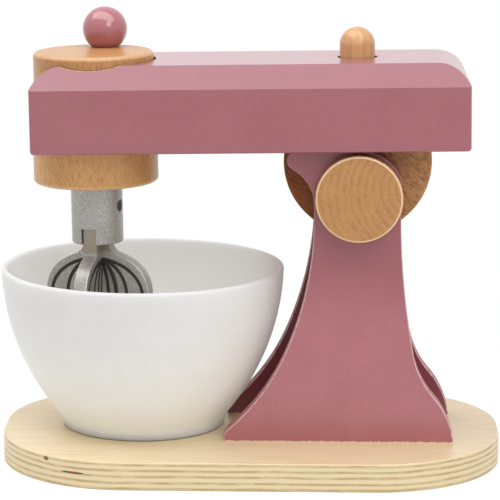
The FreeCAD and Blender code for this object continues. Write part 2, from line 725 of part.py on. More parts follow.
def bowl_foot(side_low):
    """The foot's profile, from the axis out to the side's lowest point."""
    hollow_edge = VEC(BOWL_HOLLOW_R, 0, BOWL_HOLLOW_H)
    ring_inner = VEC(BOWL_HOLLOW_R + 1, 0, 0)
    ring_outer = VEC(BOWL_FOOT_R, 0, 0)
    ring_top = VEC(BOWL_FOOT_TOP_R, 0, side_low.z - BOWL_GROOVE)
    points = [VEC(0, 0, BOWL_HOLLOW_H), hollow_edge, ring_inner, ring_outer, ring_top, side_low]
    return [line(start, end) for start, end in zip(points, points[1:])]


def bowl():
    """A deep bowl turned from one profile: foot ring, curved side, round lip."""
    lip_h = BOWL_HEIGHT - BOWL_WALL / 2
    low_run = BOWL_FOOT_TOP_R + BOWL_GROOVE + BOWL_SIDE_R - BOWL_RIM_R
    side_low = side_point(BOWL_SIDE_R, BOWL_WIDEST - math.sqrt(BOWL_SIDE_R ** 2 - low_run ** 2))
    outer_lip = side_point(BOWL_SIDE_R, lip_h)
    inner_lip = side_point(BOWL_SIDE_R - BOWL_WALL, lip_h)
    lip_top = VEC((outer_lip.x + inner_lip.x) / 2, 0, BOWL_HEIGHT)
    profile = bowl_foot(side_low) + bowl_inside(lip_h)
    profile.append(side_arc(BOWL_SIDE_R, side_low.z, lip_h))
    profile.append(Part.Arc(outer_lip, lip_top, inner_lip).toShape())
    profile.append(line(VEC(0, 0, BOWL_HOLLOW_H), VEC(0, 0, BOWL_FLOOR)))
    face = Part.Face(Part.Wire(Part.__sortEdges__(profile)))
    turned = face.revolve(VEC(0, 0, 0), UP, 360)
    turned.translate(VEC(BOWL_X, BOWL_Y, BASE_THICKNESS))
    return turned


# --- all parts ---------------------------------------------------------------

def stand_parts():
    """What stands on the table and stays still."""
    return {
        "base_board": base_board(),
        "front_panel": column_panel(-1),
        "rear_panel": column_panel(1),
        "panel_screws": Part.makeCompound([screw(x, y) for x, y in screw_places()]),
        "bowl": bowl(),
    }


def head_parts():
    """All that tilts with the arm, modelled with the arm level."""
    return {
        "arm_beam": arm_beam(),
        "knuckle_block": knuckle_block(),
        "knuckle_dowels": Part.makeCompound(knuckle_dowels()),
        "hinge_axle": hinge_axle(),
        "front_hinge_cap": hinge_cap(-1),
        "rear_hinge_cap": hinge_cap(1),
        "button_spring": button_spring(),
        "button_peg": button_peg(),
        "crank_disc": crank_disc(),
        "crank_knob": crank_knob(),
        "knob_dowel": knob_dowel(),
        "crank_spindle": crank_spindle(),
        "chuck_disc": chuck_disc(),
        "whisk_socket": whisk_socket(),
        "socket_screw": socket_screw(),
        "whisk_plate_a": whisk_plate_a(),
        "whisk_plate_b": whisk_plate_b(),
    }


def main():
    os.makedirs("parts", exist_ok=True)
    for name, shape in stand_parts().items():
        save(name, shape)
    for name, shape in head_parts().items():
        # At rest the arm leans forward on the panels' noses.
        shape.rotate(VEC(HINGE_X, 0, HINGE_Z), BACK, -HEAD_LEAN)
        save(name, shape)


main()
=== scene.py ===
"""Finish of a wooden toy stand mixer: paint, beech, plywood, silver, a white bowl."""

import json
import math

import bmesh
import bpy
from bpy.props import FloatProperty, FloatVectorProperty, IntProperty, PointerProperty
from bpy.types import Operator, Panel, PropertyGroup
from mathutils import Matrix, Vector


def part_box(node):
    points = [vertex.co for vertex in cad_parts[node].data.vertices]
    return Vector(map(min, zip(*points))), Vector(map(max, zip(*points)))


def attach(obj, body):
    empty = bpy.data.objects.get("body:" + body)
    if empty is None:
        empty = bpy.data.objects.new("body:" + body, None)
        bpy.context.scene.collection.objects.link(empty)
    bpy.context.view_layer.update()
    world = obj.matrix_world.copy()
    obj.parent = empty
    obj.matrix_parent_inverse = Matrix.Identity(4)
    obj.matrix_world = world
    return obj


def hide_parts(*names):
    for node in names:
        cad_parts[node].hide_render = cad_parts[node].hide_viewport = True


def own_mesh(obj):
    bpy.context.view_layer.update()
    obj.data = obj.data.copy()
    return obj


bl_info = {
    "name": "Toy Mixer Finish",
    "version": (1, 0, 0),
    "blender": (4, 5, 0),
    "location": "3D View > Sidebar > Toy Mixer",
    "description": "Paints and finishes a wooden toy stand mixer and sets up its studio",
    "category": "Object",
}

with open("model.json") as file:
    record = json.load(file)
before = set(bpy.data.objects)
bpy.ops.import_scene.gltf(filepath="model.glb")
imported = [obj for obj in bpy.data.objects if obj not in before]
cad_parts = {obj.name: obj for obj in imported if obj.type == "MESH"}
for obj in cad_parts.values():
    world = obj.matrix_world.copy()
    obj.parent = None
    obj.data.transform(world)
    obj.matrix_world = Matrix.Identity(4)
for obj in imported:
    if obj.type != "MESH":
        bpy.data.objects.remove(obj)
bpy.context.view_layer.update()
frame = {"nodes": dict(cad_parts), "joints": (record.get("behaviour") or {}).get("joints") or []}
JOINTS = {joint["name"]: joint for joint in frame["joints"]}

MM = 0.001
RIGHT = (1.0, 0.0, 0.0)
BACK = (0.0, 1.0, 0.0)
UP = (0.0, 0.0, 1.0)


# --- sizes and places of the toy, in millimetres -------------------------------

def box_mm(node):
    """Lowest and highest corner of a CAD node at rest."""
    return [[round(part / MM, 3) for part in corner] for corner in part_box(node)]


def middle_of(node):
    """Foot of the upright line through a CAD node's middle."""
    low, high = box_mm(node)
    return ((low[0] + high[0]) / 2, (low[1] + high[1]) / 2, 0.0)


BOARD_TOP = box_mm("base_board")[1][2]
PANEL_INNER_Y = box_mm("rear_panel")[0][1]
BOWL_AXIS = middle_of("bowl")
FOOT_TOP = 19.4                          # where the bowl's foot meets its round wall
HINGE = Vector(JOINTS["head_tilt"]["pos_m"]) / MM
HEAD_LEAN = math.radians(0.87)           # how far the arm dips to the left at rest
POCKET_AXIS = (-90.0, 0.0, 0.0)          # the crank's pocket, at the arm's top
POCKET_R = 35.7
SPINDLE_X = -88.9                        # with the arm level
WHISK_TURN = math.radians(-16.8)
WHISK_SHIFT = 0.35                       # how far the whisk stands off its spindle's line
PLATE_HALF = 3.9                         # half a whisk plate's thickness
LINE_REACHES = (27.8, 18.1, 12.0, 6.9)   # widest reach of each line cut in the whisk
CUTTER_PROUD = 1.0                       # how far a line's cutter stands off the plate
WELD = 0.002                             # vertices nearer than this are joined


# --- settings ------------------------------------------------------------------

def tone(red, green, blue):
    """A screen colour, 0 to 255 each, as the linear colour that shaders use."""
    linear = []
    for level in (red, green, blue):
        share = level / 255
        if share <= 0.04045:
            linear.append(share / 12.92)
        else:
            linear.append(((share + 0.055) / 1.055) ** 2.4)
    return tuple(linear)


def colour_setting(name, description, default):
    """A colour that the sidebar shows."""
    return FloatVectorProperty(
        name=name, description=description, default=default, subtype="COLOR",
        size=3, min=0.0, max=1.0,
    )


def factor_setting(name, description, default):
    """A share between none and all."""
    return FloatProperty(
        name=name, description=description, default=default, subtype="FACTOR",
        min=0.0, max=1.0,
    )


def length_setting(name, description, default_mm):
    """A length, shown in the scene's unit and stored in metres."""
    return FloatProperty(
        name=name, description=description, default=default_mm * MM, subtype="DISTANCE",
        unit="LENGTH", min=0.0, precision=5,
    )


def angle_setting(name, description, default):
    """An angle, stored in radians."""
    return FloatProperty(
        name=name, description=description, default=default, subtype="ANGLE", unit="ROTATION",
    )


def power_setting(name, description, default):
    """A lamp's power in watts."""
    return FloatProperty(
        name=name, description=description, default=default, subtype="POWER",
        unit="POWER", min=0.0,
    )


class PaintSettings(PropertyGroup):
    """The satin paint on the arm, the column panels and the knob."""

    colour: colour_setting("Colour", "Dusty pink of the paint", tone(175, 105, 113))
    shade: colour_setting("Streak", "Paint where the brushing is thin", tone(166, 96, 104))
    # A darker paint: an even share of it is the arm's own tone; on the panels it is painted shade
    # under the arm and between the panels.
    deep_coat_and_shade: colour_setting("Deep", "Paint where a second coat lies on it", tone(134, 63, 74))
    worn: colour_setting("Worn Edge", "Sanded edges that show through", tone(232, 206, 198))
    bare: colour_setting("Bare Wood", "Wood where the paint has chipped", tone(235, 205, 170))
    # Painted sheen: a cool grey laid on faces that look up, in place of the bright room that they
    # reflect.
    dust_and_sheen: colour_setting("Dust", "Fine dust on what looks up", tone(150, 180, 190))
    gloss: factor_setting("Roughness", "How matt the paint is", 0.24)
    streaks: factor_setting("Streaks", "How strongly the brush strokes show", 0.85)


class BeechSettings(PropertyGroup):
    """The turned beech pieces; a tint is what a piece's wood is multiplied by."""

    light: colour_setting("Early Wood", "Colour between the rings", tone(208, 160, 110))
    dark: colour_setting("Late Wood", "Colour of the ring lines", tone(190, 138, 86))
    fleck: colour_setting("Flecks", "Short rays along the grain", tone(150, 98, 56))
    # Painted highlight with paler sanded wood: the pale colour of the turned pieces' rounded rims.
    arris: colour_setting("Arris", "Sanded edges, paler than the rest", tone(240, 205, 160))
    # Painted shade: this brown is laid on the knuckle by a mask that grows towards its left, which
    # lies in shade behind the front panel.
    knuckle: colour_setting("Knuckle Tint", "Brown stain on the knuckle", tone(168, 118, 58))
    rays: colour_setting("Knuckle Rays", "Rays in the stained knuckle", tone(112, 70, 36))
    caps: colour_setting("Cap Tint", "End grain of the hinge caps", tone(229, 217, 190))
    crank: colour_setting("Crank Tint", "Wood of the crank disc", tone(238, 228, 205))
    chuck: colour_setting("Chuck Tint", "Wood of the chuck disc", tone(255, 247, 218))
    ring: length_setting("Ring Spacing", "Distance between growth rings", 4.2)
    roughness: factor_setting("Roughness", "How matt the lacquer is", 0.42)


class PlySettings(PropertyGroup):
    """The plywood base board."""

    face: colour_setting("Face Veneer", "Top and bottom veneer", tone(231, 212, 176))
    face_grain: colour_setting("Face Grain", "Faint figure of the veneer", tone(218, 194, 152))
    light: colour_setting("Light Ply", "Plies that lie along the edge", tone(230, 213, 172))
    dark: colour_setting("Dark Ply", "Plies cut across, with their glue", tone(184, 154, 102))
    knot: colour_setting("Knot", "Small knot in the edge", tone(128, 90, 50))
    # Painted shade: the gap in the ply is this dark painted spot, not a hole in the board.
    void: colour_setting("Void", "Gap in one inner ply", tone(60, 34, 24))
    core: colour_setting("Void Core", "Reddish wood inside the gap", tone(168, 82, 60))
    roughness: factor_setting("Roughness", "How matt the lacquer is", 0.4)


class SilverSettings(PropertyGroup):
    """The silver paint of the socket and the whisk."""

    colour: colour_setting("Colour", "Silver paint", tone(198, 197, 193))
    grain: colour_setting("Grain", "Dark grain in the silver", tone(145, 142, 137))
    thin: colour_setting("Thin Coat", "Wood showing through a thin coat", tone(150, 138, 120))
    rubbed: colour_setting("Rubbed", "Bright edges of the whisk", tone(222, 221, 216))
    line: colour_setting("Wire Lines", "Dark lines cut in the whisk", tone(46, 44, 42))
    line_dust: colour_setting("Line Dust", "Dust in the dark lines", tone(70, 68, 64))
    roughness: factor_setting("Roughness", "How matt the silver is", 0.36)
    metal: factor_setting("Metallic", "How metallic the silver looks", 0.55)


class WhiskSettings(PropertyGroup):
    """The wire pattern that is cut into the whisk's plates."""

    line_width: length_setting("Line Width", "Width of each cut line", 2.0)
    line_depth: length_setting("Line Depth", "Depth of each cut line", 0.55)
    pole: length_setting("Top Of Lines", "Height at which the lines meet", 116.65)
    equator: length_setting("Widest Line", "Height at which the lines are widest", 95.8)
    foot: length_setting("Foot Of Lines", "Height at which the lines meet below", 69.7)
    steps: IntProperty(name="Steps", description="Points round each line", default=96, min=24)


class BowlSettings(PropertyGroup):
    """The matt white bowl."""

    colour: colour_setting("Colour", "White of the bowl", tone(246, 248, 239))
    # Painted light: a whiter copy of the bowl's white, laid on its inside to brighten it.
    inside: colour_setting("Inside", "Cleaner white of the inside", tone(253, 254, 244))
    # Painted shade: the dark colour of the channel above the foot and of the shadow line where the
    # foot meets the board.
    painted_foot_shade: colour_setting("Foot Line", "Dust where the foot meets the board", tone(120, 114, 98))
    mottle: colour_setting("Mottle", "Faint warmer cloud in the white", tone(239, 237, 229))
    roughness: factor_setting("Roughness", "How matt the bowl is", 0.5)


class SteelSettings(PropertyGroup):
    """The screws and the spring."""

    colour: colour_setting("Colour", "Zinc plated steel", tone(150, 148, 144))
    scratch: colour_setting("Scratches", "Dull streaks in the plating", tone(112, 110, 106))


class StageSettings(PropertyGroup):
    """The camera, the lamps and the floor."""

    target: FloatVectorProperty(
        name="Target", description="Point that the camera looks at",
        default=(-0.00107, 0.0, 0.11924), subtype="XYZ", unit="LENGTH", precision=5,
    )
    distance: length_setting("Distance", "From the camera to its target", 1500.0)
    yaw: angle_setting("Yaw", "Turn of the view about the upright axis", -0.0259)
    pitch: angle_setting("Pitch", "How far the view looks down", 0.1954)
    roll: angle_setting("Roll", "Tilt of the camera about its own axis", 0.0021)
    lens: FloatProperty(
        name="Focal Length", description="Focal length in millimetres on a 36 mm sensor",
        default=188.28, unit="CAMERA", min=1.0,
    )
    top_power: power_setting("Top Lamp", "Power of the wide overhead lamp", 15.0)
    key_power: power_setting("Key Lamp", "Power of the lamp at the upper front right", 4.4)
    room: FloatProperty(
        name="Room Light", description="Even light from all round", default=0.56, min=0.0,
    )
    floor: colour_setting("Floor", "Plain pale floor", (0.8, 0.8, 0.8))


class MixerSettings(PropertyGroup):
    """Everything about the toy mixer's finish that a user may change."""

    paint: PointerProperty(type=PaintSettings)
    beech: PointerProperty(type=BeechSettings)
    ply: PointerProperty(type=PlySettings)
    silver: PointerProperty(type=SilverSettings)
    whisk: PointerProperty(type=WhiskSettings)
    bowl: PointerProperty(type=BowlSettings)
    steel: PointerProperty(type=SteelSettings)
    stage: PointerProperty(type=StageSettings)


def settings():
    """The settings that the sidebar edits."""
    return bpy.context.scene.toy_mixer


# --- a small kit for materials -------------------------------------------------

class NodeKit:
    """A node tree under construction."""

    def __init__(self, tree):
        self.tree = tree

    def add(self, kind, inputs=None, **options):
        """A new node; inputs gives what feeds its sockets, by name or number."""
        node = self.tree.nodes.new(kind)
        for key, value in options.items():
            setattr(node, key, value)
        for key, value in (inputs or {}).items():
            self.feed(node.inputs[key], value)
        return node

    def feed(self, socket, value):
        """Link another socket to this one, or give this one a fixed value."""
        if isinstance(value, bpy.types.NodeSocket):
            self.tree.links.new(value, socket)
        elif socket.type == "RGBA" and len(value) == 3:
            socket.default_value = (*value, 1.0)
        else:
            socket.default_value = value

    def math(self, operation, first, second=0.0, clamp=False):
        """One step of arithmetic on numbers."""
        numbers = {0: first, 1: second}
        return self.add("ShaderNodeMath", numbers, operation=operation, use_clamp=clamp).outputs[0]

    def plus(self, first, second, clamp=False):
        """The sum of two numbers."""
        return self.math("ADD", first, second, clamp)

    def minus(self, first, second):
        """The first number less the second."""
        return self.math("SUBTRACT", first, second)

    def times(self, first, second, clamp=False):
        """Two numbers multiplied."""
        return self.math("MULTIPLY", first, second, clamp)

    def graded(self, value, gain, base):
        """A number times a gain, on top of a base."""
        return self.plus(self.times(value, gain), base)

    def weighted(self, first, first_weight, second, second_weight):
        """The sum of two numbers, each times its weight."""
        return self.plus(self.times(first, first_weight), self.times(second, second_weight))

    def vector(self, operation, first, second=(0.0, 0.0, 0.0), output="Vector"):
        """One step of arithmetic on vectors."""
        vectors = {0: first, 1: second}
        return self.add("ShaderNodeVectorMath", vectors, operation=operation).outputs[output]

    def scaled(self, place, scale):
        """A place stretched along the axes."""
        return self.vector("MULTIPLY", place, scale)

    def lengthened(self, vector, factor):
        """A vector with its length times a number."""
        inputs = {0: vector, "Scale": factor}
        return self.add("ShaderNodeVectorMath", inputs, operation="SCALE").outputs["Vector"]

    def length(self, vector):
        """How long a vector is."""
        return self.vector("LENGTH", vector, output="Value")

    def along(self, place, axis):
        """How far a place lies along a direction."""
        return self.vector("DOT_PRODUCT", place, axis, output="Value")

    def rise(self, value, low, high):
        """0 below low, 1 above high and smooth between; low may be above high."""
        inputs = {"Value": value, "From Min": low, "From Max": high}
        smooth = self.add("ShaderNodeMapRange", inputs, interpolation_type="SMOOTHSTEP")
        return smooth.outputs["Result"]

    def seen_directly(self):
        """1 on rays from the camera, a mirror or a lens, and 0 on the rest."""
        path = self.add("ShaderNodeLightPath").outputs
        seen = self.math("MAXIMUM", path["Is Camera Ray"], path["Is Glossy Ray"])
        return self.math("MAXIMUM", seen, path["Is Transmission Ray"])


class Surface(NodeKit):
    """One material under construction; places are in millimetres in the toy's frame."""

    def __init__(self, name):
        self.material = bpy.data.materials.new(name)
        self.material.use_nodes = True
        super().__init__(self.material.node_tree)
        self.tree.nodes.clear()
        self.shader = self.add("ShaderNodeBsdfPrincipled")
        self.add("ShaderNodeOutputMaterial", {"Surface": self.shader.outputs["BSDF"]})
        place = self.add("ShaderNodeTexCoord").outputs["Object"]
        self.place = self.scaled(place, (1 / MM, 1 / MM, 1 / MM))

    def height(self):
        """How high the surface lies."""
        return self.along(self.place, UP)

    def facing(self):
        """The direction in which the surface faces."""
        return self.add("ShaderNodeTexCoord").outputs["Normal"]

    def turned_to(self, axis):
        """How far the surface faces along an axis of the toy, 0 to 1."""
        return self.math("ABSOLUTE", self.along(self.facing(), axis))

    def off_axis(self, axis):
        """The level step from an upright axis to the surface."""
        return self.vector("SUBTRACT", self.scaled(self.place, (1.0, 1.0, 0.0)), axis)

    def noise(self, place, scale, detail=3.0, roughness=0.5, distortion=0.0):
        """Soft noise from 0 to 1 with a mean of a half; scale is in cells per millimetre."""
        return self.add("ShaderNodeTexNoise", {
            "Vector": place, "Scale": scale, "Detail": detail, "Roughness": roughness,
            "Distortion": distortion,
        }).outputs["Fac"]

    def ragged(self, scale, low, high):
        """Patches that break up the edge of another mask."""
        return self.rise(self.noise(self.place, scale), low, high)

    def mix(self, share, first, second, blend="MIX"):
        """Two colours mixed."""
        inputs = {0: share, 6: first, 7: second}
        return self.add("ShaderNodeMix", inputs, data_type="RGBA", blend_type=blend).outputs[2]

    def bump(self, height, strength, distance):
        """Give the surface a fine relief."""
        relief = self.add("ShaderNodeBump", {
            "Height": height, "Strength": strength, "Distance": distance * MM,
        })
        self.feed(self.shader.inputs["Normal"], relief.outputs["Normal"])

    def finish(self, colour, roughness, **constants):
        """Set what the shader shows; constants go straight on its sockets."""
        self.feed(self.shader.inputs["Base Color"], colour)
        self.feed(self.shader.inputs["Roughness"], roughness)
        for key, value in constants.items():
            self.feed(self.shader.inputs[key.replace("_", " ")], value)
        return self.material


def coat(material, *nodes):
    """Put one material on carried-over CAD nodes."""
    for name in nodes:
        mesh = frame["nodes"][name].data
        mesh.materials.clear()
        mesh.materials.append(material)


# --- masks, from 0 to 1 over a surface -----------------------------------------

# Each pair is where the mask begins and where it is full, in millimetres.
FLANK_WEAR = (150.0, 125.0)      # heights at which the panels' arrises grow paler
PAINTED_HEAD_SHADE = (80.0, 128.0)        # heights over which painted shade from the arm above grows on the panels
PAINTED_INNER_SHADE = (1.4, 0.4)          # distances outward from the panels' inner faces, where painted shade darkens the faces that look at each other
CHIPPED_FOOT = (0.4, 0.15)       # heights above the board, give or take CHIP_RISE / 2
CHIP_RISE = 2.6
NECK_COAT = (117.5, 120.0)       # heights on the whisk's neck
RIM_REACH = (0.7, 0.25)          # distances from the pocket's rim
PAINTED_SHADE_SPAN = (125.0, 20.0)       # from the knuckle's right to its left, over which painted shade grows


def evenly(share):
    """A mask that is the same all over."""
    def mask(surface):
        return share
    return mask


NOWHERE = evenly(0.0)
EVERYWHERE = evenly(1.0)


def arris(surface, axis, side=0.25, face=0.9):
    """The rounded arrises between a face along an axis and the sides round it.

    side and face are how far the surface turns towards the axis where the band ends. It
    fades out over a little turn at either end.
    """
    turned = surface.turned_to(tuple(axis))
    from_side = surface.rise(turned, side - 0.13, side + 0.15)
    from_face = surface.rise(turned, min(face + 0.07, 0.998), face - 0.07)
    return surface.times(from_side, from_face)


def panel_wear(surface):
    """A panel's sanded arrises, palest low on its flanks."""
    low = surface.graded(surface.rise(surface.height(), *FLANK_WEAR), 0.6, 0.15)
    band = surface.times(arris(surface, BACK), surface.ragged(0.5, 0.25, 0.5))
    return surface.times(band, low)


def panel_chips(surface):
    """The ragged foot of a panel, where the paint stops short of the base board."""
    chips = surface.noise(surface.scaled(surface.place, (1.0, 1.0, 0.25)), 0.9, 4.0, 0.65)
    uneven = surface.times(surface.minus(chips, 0.5), CHIP_RISE)
    foot = surface.minus(surface.minus(surface.height(), BOARD_TOP), uneven)
    return surface.rise(foot, *CHIPPED_FOOT)


def panel_painted_shade(surface):
    """Painted shade: a darker coat towards the head, under the arm, and on the faces that look at
    each other.
    """
    head = surface.times(surface.rise(surface.height(), *PAINTED_HEAD_SHADE), 0.54)
    off = surface.math("ABSOLUTE", surface.along(surface.place, BACK))
    begin, full = PAINTED_INNER_SHADE
    inner = surface.rise(off, PANEL_INNER_Y + begin, PANEL_INNER_Y + full)
    return surface.math("MAXIMUM", head, surface.times(inner, 0.85))


def cut_edge(surface):
    """A panel's sawn edge all round, which takes less shine than its faces."""
    return surface.rise(surface.turned_to(BACK), 0.8, 0.3)


def pocket_rim(surface):
    """The sharp rim of the arm's pocket, where the paint has rubbed thin."""
    past = surface.minus(surface.length(surface.off_axis(POCKET_AXIS)), POCKET_R)
    near = surface.rise(surface.math("ABSOLUTE", past), *RIM_REACH)
    return surface.times(near, surface.times(surface.ragged(0.5, 0.3, 0.55), 0.5))


def painted_sheen_on_tops(surface):
    """Painted sheen: a cool grey share on what looks up, standing in for the bright room that the
    tops reflect.
    """
    return surface.times(surface.rise(surface.along(surface.facing(), UP), 0.2, 0.9), 0.07)


def painted_shade_to_left(surface):
    """Painted shade: stronger towards the side where the crank is, where the knuckle lies in shade
    behind the front panel.
    """
    return surface.rise(surface.along(surface.place, RIGHT), *PAINTED_SHADE_SPAN)


def turned_arris_highlight(axis, strength):
    """A mask of a turned piece's rounded arrises: paler sanded wood with a painted highlight."""
    def mask(surface):
        return surface.times(arris(surface, axis, 0.2, 0.96), strength)
    return mask


def plate_wear(normal):
    """A mask of a whisk plate's rounded arrises."""
    def mask(surface):
        return surface.times(arris(surface, normal), surface.ragged(0.6, 0.2, 0.5))
    return mask


def neck_coat(surface):
    """A thin, dull coat on the whisk's neck, above its round crown."""
    return surface.times(surface.rise(surface.height(), *NECK_COAT), 0.75)


# --- materials -----------------------------------------------------------------

STROKE_ACROSS = 0.9     # brush strokes per millimetre across the grain
STROKE_ALONG = 0.28     # and along it


def painted_wood(name, grain, worn=NOWHERE, chipped=NOWHERE, depth=NOWHERE, dull=NOWHERE,
                 painted_sheen=NOWHERE, gloss=None, coat_weight=0.4):
    """Satin paint with faint strokes along the grain.

    The masks say where sanding went through to the undercoat, where the paint has come
    off the wood, how much of a darker coat lies on it, which on the panels is painted
    shade, where it is dull, and where a painted sheen lies. gloss stands in for the usual
    roughness.
    """
    paint = settings().paint
    if gloss is None:
        gloss = paint.gloss
    surface = Surface(name)
    longer = STROKE_ALONG - STROKE_ACROSS
    stretch = [STROKE_ACROSS + longer * abs(part) for part in grain]
    strokes = surface.noise(surface.scaled(surface.place, stretch), 1.0, 4.0, 0.6)
    clouds = surface.noise(surface.place, 0.035)
    fine = surface.noise(surface.place, 1.4)
    streak = surface.plus(surface.weighted(strokes, 0.35, clouds, 0.35), surface.times(fine, 0.3))
    share = surface.times(surface.rise(streak, 0.4, 0.6), paint.streaks)
    colour = surface.mix(share, paint.colour, paint.shade)
    # On the panels this mix is painted shade; on the arm it is an even darker tone of the paint.
    colour = surface.mix(depth(surface), colour, paint.deep_coat_and_shade)
    # Painted sheen: a cool grey on what looks up.
    colour = surface.mix(painted_sheen(surface), colour, paint.dust_and_sheen)
    colour = surface.mix(worn(surface), colour, paint.worn)
    colour = surface.mix(chipped(surface), colour, paint.bare)
    rough = surface.graded(strokes, 0.1, gloss - 0.05)
    rough = surface.plus(rough, surface.times(dull(surface), 0.5))
    surface.bump(surface.plus(strokes, surface.times(fine, 0.5)), 0.08, 0.1)
    return surface.finish(colour, rough, IOR=1.62, Coat_Weight=coat_weight,
                          Coat_Roughness=0.16)


RAY_STRETCH = 0.1           # beech rays are ten times as long as they are wide
RING_WANDER = 6.0           # how far the rings stray from circles, in millimetres
LATE_WOOD = (0.45, 0.97)    # where a ring darkens, in shares of its width
EARLY_WOOD = (0.16, 0.0)    # where the last ring's dark line ends in the next


def beech(name, grain, pith, phase=0.0, tint=(1.0, 1.0, 1.0), stained=EVERYWHERE,
          rings=0.42, rays=0.5, density=0.0, fine=1.5, fleck=None, sanded=NOWHERE,
          lacquer=0.3):
    """Beech with its rings about a pith line, and rays along the grain.

    phase shifts the rings, rings and rays say how strongly they show, density adds more
    rays, fine makes them narrower and fleck gives them another colour. tint multiplies the
    wood's colour where the stained mask says; on the knuckle that mask is painted shade,
    growing towards its left. sanded is the mask of its pale arrises, partly sanded wood and
    partly a painted highlight, and lacquer is how much clear coat it has.
    """
    wood = settings().beech
    surface = Surface(name)
    grain = tuple(Vector(grain).normalized())
    offset = surface.vector("SUBTRACT", surface.place, pith)
    axial = surface.lengthened(grain, surface.along(offset, grain))
    radial = surface.vector("SUBTRACT", offset, axial)
    ray_place = surface.vector("ADD", radial, surface.lengthened(axial, RAY_STRETCH))

    wander = surface.times(surface.noise(ray_place, 0.055, 2.0), RING_WANDER)
    strayed = surface.plus(surface.length(radial), wander)
    turns = surface.math("DIVIDE", strayed, wood.ring / MM)
    turn = surface.math("FRACT", surface.plus(turns, phase))
    ring = surface.math("MAXIMUM", surface.rise(turn, *LATE_WOOD),
                        surface.rise(turn, *EARLY_WOOD))
    uneven = surface.rise(surface.noise(ray_place, 0.16, 2.0), 0.3, 0.65)
    ring = surface.times(ring, surface.graded(uneven, 0.75, 0.25))
    clouds = surface.rise(surface.noise(ray_place, 0.11), 0.3, 0.75)
    needles = surface.noise(ray_place, fine, 2.0, 0.6)
    fibres = surface.times(surface.minus(needles, 0.5), 1.5)
    share = surface.plus(surface.weighted(ring, rings, clouds, 0.4), fibres, clamp=True)

    colour = surface.mix(share, wood.light, wood.dark)
    short = surface.rise(needles, 0.58 - density, 0.72 - density)
    colour = surface.mix(surface.times(short, rays), colour, fleck or wood.fleck)
    pale = surface.rise(needles, 0.42, 0.26)
    colour = surface.mix(surface.times(pale, 0.25), colour, wood.light)
    colour = surface.mix(stained(surface), colour, tint, "MULTIPLY")
    colour = surface.mix(sanded(surface), colour, wood.arris)
    surface.bump(surface.plus(needles, surface.times(ring, 0.3)), 0.1, 0.1)
    rough = surface.graded(needles, 0.16, wood.roughness - 0.08)
    return surface.finish(colour, rough, Coat_Weight=lacquer, Coat_Roughness=0.2,
                          Specular_IOR_Level=min(0.5, 0.2 + lacquer))


# The board's edge, in millimetres. A spot's place is (x, height), and its reach is
# (sideways, upwards).
DARK_PLIES = (1.4, 4.7, 8.0, 11.6, 14.9)   # depths below the board's top
PLY_REACH = (1.15, 0.15)                   # where a dark ply begins and where it is full
PLY_WAVE = 1.1                             # how far the plies wander up and down
# A gap in an inner ply, painted as a dark spot of shade round reddish wood.
VOID_PLACE = (-97.2, 8.5)
VOID_REACH = (6.4, 0.6)
CORE_REACH = (4.2, 0.25)
KNOT_PLACE = (-112.6, 14.1)
KNOT_REACH = (1.4, 1.2)


def edge_spot(surface, place, reach):
    """A mask with soft ends on the front of the board's edge."""
    side = surface.minus(surface.along(surface.place, RIGHT), place[0])
    across = surface.math("DIVIDE", side, reach[0])
    up = surface.math("DIVIDE", surface.minus(surface.height(), place[1]), reach[1])
    far = surface.plus(surface.times(across, across), surface.times(up, up))
    far = surface.plus(far, surface.times(surface.noise(surface.place, 0.9), 0.5))
    at_front = surface.rise(surface.along(surface.place, BACK), 0.0, -1.0)
    return surface.times(surface.rise(far, 1.4, 1.1), at_front)


def plywood(name):
    """A birch plywood board: plain veneer above, plies and glue lines at the edge."""
    ply = settings().ply
    surface = Surface(name)
    long_place = surface.scaled(surface.place, (0.05, 0.7, 0.7))
    figure = surface.rise(surface.noise(long_place, 0.5, 4.0, 0.6, 0.6), 0.35, 0.72)
    fibres = surface.noise(long_place, 2.2, 3.0, 0.6)
    veneer = surface.weighted(figure, 0.6, surface.rise(fibres, 0.35, 0.65), 0.45)
    face = surface.mix(veneer, ply.face, ply.face_grain)

    edge_place = surface.scaled(surface.place, (0.035, 0.035, 0.25))
    wave = surface.minus(surface.noise(edge_place, 1.0, 2.0), 0.5)
    depth = surface.plus(surface.minus(BOARD_TOP, surface.height()),
                         surface.times(wave, PLY_WAVE))
    dark = 0.0
    for ply_depth in DARK_PLIES:
        gap = surface.math("ABSOLUTE", surface.minus(depth, ply_depth))
        dark = surface.math("MAXIMUM", dark, surface.rise(gap, *PLY_REACH))
    scratch_place = surface.scaled(surface.place, (0.5, 0.5, 2.2))
    scratches = surface.noise(scratch_place, 1.3, 4.0, 0.65)
    patches = surface.noise(surface.scaled(surface.place, (0.08, 0.08, 0.7)), 1.0, 3.0, 0.6)
    broken = surface.weighted(surface.rise(patches, 0.36, 0.62), 0.55, scratches, 0.5)
    dark = surface.times(dark, surface.plus(broken, 0.12), clamp=True)
    edge = surface.mix(dark, ply.light, ply.dark)
    scored = surface.times(surface.rise(scratches, 0.5, 0.75), 0.22)
    edge = surface.mix(scored, edge, ply.dark)
    for place, reach, shade in ((KNOT_PLACE, KNOT_REACH, ply.knot),
                                (VOID_PLACE, VOID_REACH, ply.void),
                                (VOID_PLACE, CORE_REACH, ply.core)):
        edge = surface.mix(edge_spot(surface, place, reach), edge, shade)

    upright = surface.rise(surface.turned_to(UP), 0.9, 0.5)
    colour = surface.mix(upright, face, edge)
    surface.bump(surface.plus(fibres, surface.times(dark, -0.6)), 0.12, 0.15)
    rough = surface.graded(upright, 0.15, ply.roughness)
    return surface.finish(colour, rough, Coat_Weight=0.25, Coat_Roughness=0.25)


